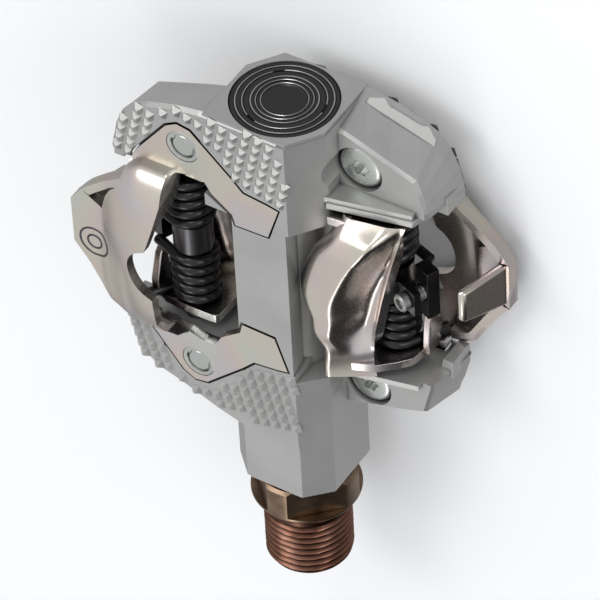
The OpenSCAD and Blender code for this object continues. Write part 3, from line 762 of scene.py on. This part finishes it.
# Bore of the crank end, as (radius, distance from the end)
END_BORE = [(4.7, 6), (4.7, 0.4), (5.1, 0), (THREAD_R - 1.1, 0)]
COLLAR_R, COLLAR_END, SHAFT_R, FLAT_DISTANCE = 8.95, 7.5, 5.9, 7.5
COLLAR_PROFILE = [
    (THREAD_R - 1, 0.2), (THREAD_R + 0.1, 0), (COLLAR_R - 0.35, 0.9), (COLLAR_R, 1.5),
    (COLLAR_R, COLLAR_END - 0.5), (COLLAR_R - 0.5, COLLAR_END), (SHAFT_R, COLLAR_END),
    (SHAFT_R, COLLAR_END + 4), (3, COLLAR_END + 4), (3, 0.2)]
# Hexagon socket, as (radius, distance from the end)
SOCKET_PROFILE = [(4.9, 0.5), (4.9, 6.2), (0.01, 6.2), (0.01, 7), (5.4, 7), (5.4, 0.5)]


def thread_radius(y, turn):
    """Radius of the crank thread at a distance along it and a share of a turn around it."""
    phase = (y / THREAD_PITCH + turn) % 1
    groove = THREAD_DEPTH * (1 - abs(2 * phase - 1)) ** 1.1
    taper = max(0.9 - (y + THREAD_L), 0) * 0.9
    runout = smooth_step(y, -2.4, -1.7)
    relief = 0.35 * runout * (1 - smooth_step(y, -0.9, -0.6))
    return THREAD_R - max(groove * (1 - runout), taper) - relief


def crank_thread():
    """Crank thread with a run-out groove by the shoulder and a chamfered, hollow end."""
    around, columns = 96, []
    bore = [(r, y - THREAD_L) for r, y in END_BORE]
    shoulder = [(THREAD_R, -0.25), (THREAD_R, 0.4), (5, 0.4)]
    places = [-THREAD_L + THREAD_STEP * k for k in range(int((THREAD_L - 0.3) / THREAD_STEP))]
    for k in range(around + 1):
        angle = 2 * math.pi * k / around
        crests = [(thread_radius(y, k / around), y) for y in places]
        profile = bore + crests + shoulder + bore[:1]
        columns.append([(r * math.cos(angle), y, r * math.sin(angle)) for r, y in profile])
    return sheet(columns)


def collar():
    """Wrench collar with four flats and coned shoulders."""
    body = lathe(COLLAR_PROFILE, 128)
    for turn in (45, 135, 225, 315):
        flat = prism([(-10, 1.9), (10, 1.9), (10, 9), (-10, 9)], FLAT_DISTANCE, 12)
        flat.data.transform(Matrix.Rotation(math.radians(turn), 4, "Y"))
        body = combine(body, flat, "DIFFERENCE")
    return body


finish_piece(collar(), "spindle_collar", "spindle", "spindle_steel", ["spindle"], 30)
finish_piece(crank_thread(), "crank_thread", "spindle", "spindle_steel", None, 50, "thread_steel")
socket = lathe([(r, THREAD_END_Y + y) for r, y in SOCKET_PROFILE], 6)
finish_piece(socket, "hexagon_socket", "spindle", "spindle_steel", None, 20)


# ---- end cap with silver rings
CAP_R = 8.45
# Middle and edge of the cap, as (radius, depth), and its lands, as (inner radius, outer radius, depth,
# depth of the gap inside it, depth of the gap outside it)
CAP_MIDDLE = [(0.01, 3), (0.01, 0.25), (3.2, 0.25), (3.4, 0.1), (3.5, 0.1), (3.5, 0.4)]
CAP_LANDS = [(3.75, 4.2, 0.12, 0.4, 0.45), (4.55, 5.0, 0.1, 0.45, 0.5), (5.35, 6.2, 0.1, 0.5, 0.5),
             (6.6, 7.3, 0.1, 0.5, 0.5)]
CAP_EDGE = [(7.7, 0.5), (7.7, 0.1), (CAP_R - 0.2, 0.1), (CAP_R, 0.4), (CAP_R, 3)]
# Silver rings: share of the cap's radius, and width
CAP_RINGS = [(0.885, 0.2), (0.76, 0.17), (0.61, 0.2), (0.52, 0.14), (0.43, 0.14)]
NOTCHED_RING = 1


def cap():
    """Black cap with raised lands between the silver rings."""
    profile = list(CAP_MIDDLE)
    for inner, outer, depth, gap_inside, gap_outside in CAP_LANDS:
        profile += [(inner, gap_inside), (inner, depth), (outer, depth), (outer, gap_outside)]
    return lathe([(r, BODY_END_Y - depth) for r, depth in profile + CAP_EDGE], 128)


def cap_ring(index, share, width):
    """One silver ring of the cap; the notched one has three gaps."""
    middle, half = share * CAP_R, width / 2
    section = [(middle - half, -0.45), (middle - half, -0.03), (middle, 0.02), (middle + half, -0.03),
               (middle + half, -0.45)]
    ring = lathe([(r, BODY_END_Y + rise) for r, rise in section], 128)
    for turn in (10, 130, 250) if index == NOTCHED_RING else ():
        low, high = BODY_END_Y - 2, BODY_END_Y + 1
        gap = prism([(5.2, low), (7.6, low), (7.6, high), (5.2, high)], -0.9, 0.9)
        gap.data.transform(Matrix.Rotation(math.radians(turn), 4, "Y"))
        ring = combine(ring, gap, "DIFFERENCE")
    return ring


finish_piece(bevel(cap(), 0.05, 40, 1), "cap_disc", "pedal_body", "cap_black", ["end_cap"], 30)
for index, (share, width) in enumerate(CAP_RINGS):
    ring = cap_ring(index, share, width)
    finish_piece(ring, f"cap_ring_{index + 1}", "pedal_body", "screw_silver", None, 30)


# ---- screws and inserts of the hooks
# Profiles as (radius, height); the screw's head is seen from its underside
HEAD_R = 3.85
HEAD_PROFILE = [(0.01, 1.6), (HEAD_R, 1.6), (HEAD_R, 0.75), (HEAD_R - 0.15, 0.4), (HEAD_R - 0.5, 0.12),
                (HEAD_R - 1, 0), (0.01, -0.02)]
RECESS_RADII, RECESS_DEPTH = (1.75, 1.15), 1.1
INSERT_BASE = TAB_TOP - 3.75
INSERT_PROFILE = [(0.01, 0), (0.01, 3.55), (1.75, 3.55), (1.95, 3.4), (2.0, 3.1), (2.1, 3.1), (2.2, 3.75),
                  (2.65, 3.8), (2.85, 3.7), (2.9, 3.4), (2.9, 0)]


def screw_head():
    """Low round head with a six-pointed recess."""
    star = [polar(RECESS_RADII[k % 2], 30 * k) for k in range(12)]
    recess = prism(rounded(star, 1), -2, RECESS_DEPTH)
    recess.data.transform(Y_TO_MINUS_Z)
    return combine(lathe(HEAD_PROFILE, 64), recess, "DIFFERENCE")


def hook_fixing(thing, side, height):
    """Stands a turned body up at one of the two fixing points of a hook."""
    thing.data.transform(Y_TO_Z)
    thing.data.transform(Matrix.Translation(Vector((INSERT_X, CLEAT_Y + side * INSERT_Y, height)) * MM))
    return thing


for face in ("a", "b"):
    for place, side in (("outboard", 1), ("inboard", -1)):
        head = hook_fixing(screw_head(), side, 0)
        insert = hook_fixing(lathe(INSERT_PROFILE, 64), side, INSERT_BASE)
        for thing, part, nodes in ((head, "head", "hook_screws"), (insert, "insert", "hook_nuts")):
            name = f"hook_{face}_{part}_{place}"
            finish_piece(place_on(face, thing), name, "pedal_body", "screw_silver", [f"{nodes}_{face}"], 30)


# ---- ribs along the inner edges of the outboard arms
# Rib beside the outboard end of claw B: its distance from the middle of the hooks, its thickness, and its
# section as (x, z)
RIB_Y, RIB_T = 16.4, 1.15
RIB = [(-9.3, -4.45), (-22.9, -1.7), (-23.6, 1), (-9.3, 1)]
for face in ("a", "b"):
    rib = place_on(face, slab([(x, RIB_Y, z) for x, z in RIB], (0, RIB_T, 0)))
    bevel(rib, 0.15)
    finish_piece(rib, f"housing_rib_{face}", "pedal_body", "body_aluminium", None, 30)


# ---- camera, light and floor
# Place and direction from which the photograph was taken, and a lens that fills the picture
VIEW_FROM = Vector((362.0, 670.6, 531.0)) * MM
VIEW_ALONG = Vector((-0.40215, -0.69927, -0.59101)).normalized()
UP = Vector((-0.34511, 0.71367, -0.60957))
LENS = 350


def add_camera():
    data = bpy.data.cameras.new("camera")
    camera = bpy.data.objects.new("camera", data)
    bpy.context.scene.collection.objects.link(camera)
    right = VIEW_ALONG.cross(UP).normalized()
    turn = Matrix((right, right.cross(VIEW_ALONG), -VIEW_ALONG)).transposed().to_4x4()
    camera.matrix_world = Matrix.Translation(VIEW_FROM) @ turn
    data.sensor_width = 36
    data.lens = LENS
    data.clip_start = 0.05
    data.clip_end = 20
    bpy.context.scene.camera = camera


# Lights: name, place and width and height in metres, and power in watts
LIGHTS = [("key", (-0.45, 0.62, 0.80), (0.5, 0.5), 2.5),
          ("strip", (0.0, -0.75, 0.80), (0.26, 0.5), 1.1),
          ("grip", (0.0, 1.0, 0.46), (0.3, 0.3), 1.3),
          ("fill", (0.9, 0.35, 0.45), (0.5, 0.5), 1.5)]
LIGHT_TARGET = Vector((0, 0.045, 0))
# Studio around the pedal: its light, and the brightness that metal mirrors from below (0) to above (1)
SURROUND_COLOUR, SURROUND_STRENGTH = (0.95, 0.97, 1, 1), 0.75
MIRRORED = [(0.0, 0.5), (0.40, 0.36), (0.52, 0.36), (0.64, 0.60), (0.80, 0.64), (1.0, 0.8)]
# Black flag that metal mirrors: its direction, the cosines at which it starts and is full, and the share of
# the light that it lets through
FLAG_TOWARDS = Vector((0.45, -0.85, 0.10)).normalized()
FLAG_START, FLAG_FULL, FLAG_LETS = 0.78, 0.90, 0.03


def add_lights():
    """Soft studio: a key from the upper left and three broad dim panels."""
    for name, place, size, power in LIGHTS:
        data = bpy.data.lights.new(name, "AREA")
        data.shape = "RECTANGLE"
        data.size, data.size_y = size
        data.energy = power
        light = bpy.data.objects.new(name, data)
        light.location = place
        light.rotation_euler = (LIGHT_TARGET - Vector(place)).to_track_quat("-Z", "Y").to_euler()
        bpy.context.scene.collection.objects.link(light)


def add_studio():
    """World: an even pale light, and for mirrored rays a graded dome with a black flag."""
    world = bpy.data.worlds.new("studio")
    world.use_nodes = True
    tree = world.node_tree
    tree.nodes.clear()

    def node(kind, **inputs):
        made = tree.nodes.new(kind)
        for key, value in inputs.items():
            made.inputs[key.replace("_", " ")].default_value = value
        return made

    def math_node(operation, first, second, third=None):
        made = tree.nodes.new("ShaderNodeMath")
        made.operation = operation
        for position, value in enumerate((first, second, third)):
            if isinstance(value, bpy.types.NodeSocket):
                tree.links.new(value, made.inputs[position])
            elif value is not None:
                made.inputs[position].default_value = value
        return made.outputs["Value"]

    towards = node("ShaderNodeTexCoord").outputs["Generated"]
    split = node("ShaderNodeSeparateXYZ")
    tree.links.new(towards, split.inputs["Vector"])
    ramp = node("ShaderNodeValToRGB")
    while len(ramp.color_ramp.elements) < len(MIRRORED):
        ramp.color_ramp.elements.new(0.5)
    for element, (position, level) in zip(ramp.color_ramp.elements, MIRRORED):
        element.position = position
        element.color = (level, level, level, 1)
    tree.links.new(math_node("MULTIPLY_ADD", split.outputs["Z"], 0.5, 0.5), ramp.inputs["Fac"])

    aim = node("ShaderNodeVectorMath")
    aim.operation = "DOT_PRODUCT"
    aim.inputs[1].default_value = FLAG_TOWARDS
    tree.links.new(towards, aim.inputs[0])
    flag = node("ShaderNodeMapRange", From_Min=FLAG_START, From_Max=FLAG_FULL, To_Min=1.0, To_Max=FLAG_LETS)
    flag.interpolation_type = "SMOOTHSTEP"
    tree.links.new(aim.outputs["Value"], flag.inputs["Value"])

    surround = node("ShaderNodeBackground", Color=SURROUND_COLOUR, Strength=SURROUND_STRENGTH)
    mirrored = node("ShaderNodeBackground")
    level = math_node("MULTIPLY", ramp.outputs["Color"], flag.outputs["Result"])
    tree.links.new(level, mirrored.inputs["Color"])
    mix = node("ShaderNodeMixShader")
    tree.links.new(node("ShaderNodeLightPath").outputs["Is Glossy Ray"], mix.inputs["Fac"])
    tree.links.new(surround.outputs["Background"], mix.inputs[1])
    tree.links.new(mirrored.outputs["Background"], mix.inputs[2])
    tree.links.new(mix.outputs["Shader"], node("ShaderNodeOutputWorld").inputs["Surface"])
    bpy.context.scene.world = world


def add_floor():
    """Pale paper floor that metal doesn't mirror."""
    mesh = bpy.data.meshes.new("floor")
    reach, z = 3, CAD_BOX[0].z - 0.0005
    edge = [(-reach, -reach, z), (reach, -reach, z), (reach, reach, z), (-reach, reach, z)]
    mesh.from_pydata(edge, [], [(0, 1, 2, 3)])
    floor = bpy.data.objects.new("floor", mesh)
    bpy.context.scene.collection.objects.link(floor)
    mesh.materials.append(Shader("floor_paper").set(Base_Color=(0.97, 0.97, 0.97, 1), Roughness=0.9))
    floor.visible_glossy = False


add_camera()
add_lights()
add_studio()
add_floor()

bpy.context.scene.view_settings.view_transform = "Standard"
